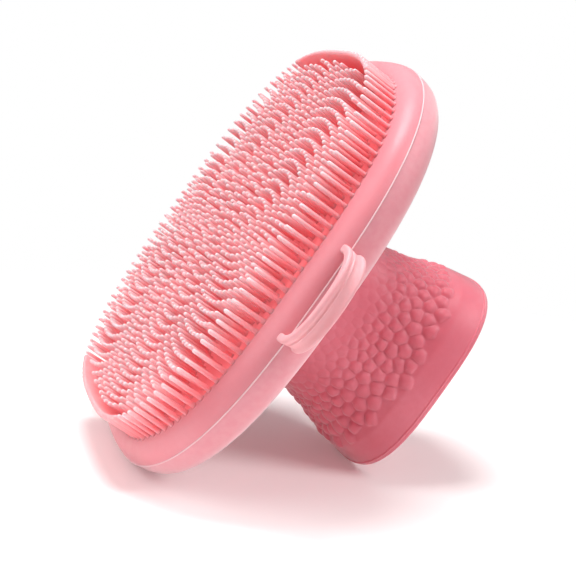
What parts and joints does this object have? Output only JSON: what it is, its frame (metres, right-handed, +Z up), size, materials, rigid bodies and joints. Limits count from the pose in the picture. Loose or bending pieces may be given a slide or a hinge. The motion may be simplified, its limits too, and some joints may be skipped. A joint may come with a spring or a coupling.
{
  "type": "facial cleansing brush",
  "caption": "Hand-held silicone face-washing brush: rounded-square bristle head, waisted textured grip, hollow standing foot and a flat side hanging loop.",
  "frame": {"origin": "centre of the foot's rim, on the plane that the brush stands on", "axes": "+Z up the grip to the bristle tips, +X along the head's longer axis, the hanging loop on the -Y side"},
  "size_m": [0.0839, 0.0873, 0.0465],
  "materials": {
    "head_silicone": "satin moulded silicone",
    "bristle_silicone": "soft moulded silicone",
    "grip_silicone": "matte moulded silicone",
    "core_plastic": "plain moulded plastic"
  },
  "bodies": {
    "root": {"brush_face": "head_silicone", "edge_bristles": "bristle_silicone", "inner_bristles": "bristle_silicone", "back_shell": "head_silicone", "grip_sleeve": "grip_silicone", "foot_cup": "grip_silicone", "hang_loop": "head_silicone", "core_plate": "core_plastic", "core_stem": "core_plastic"}
  },
  "joints": []
}
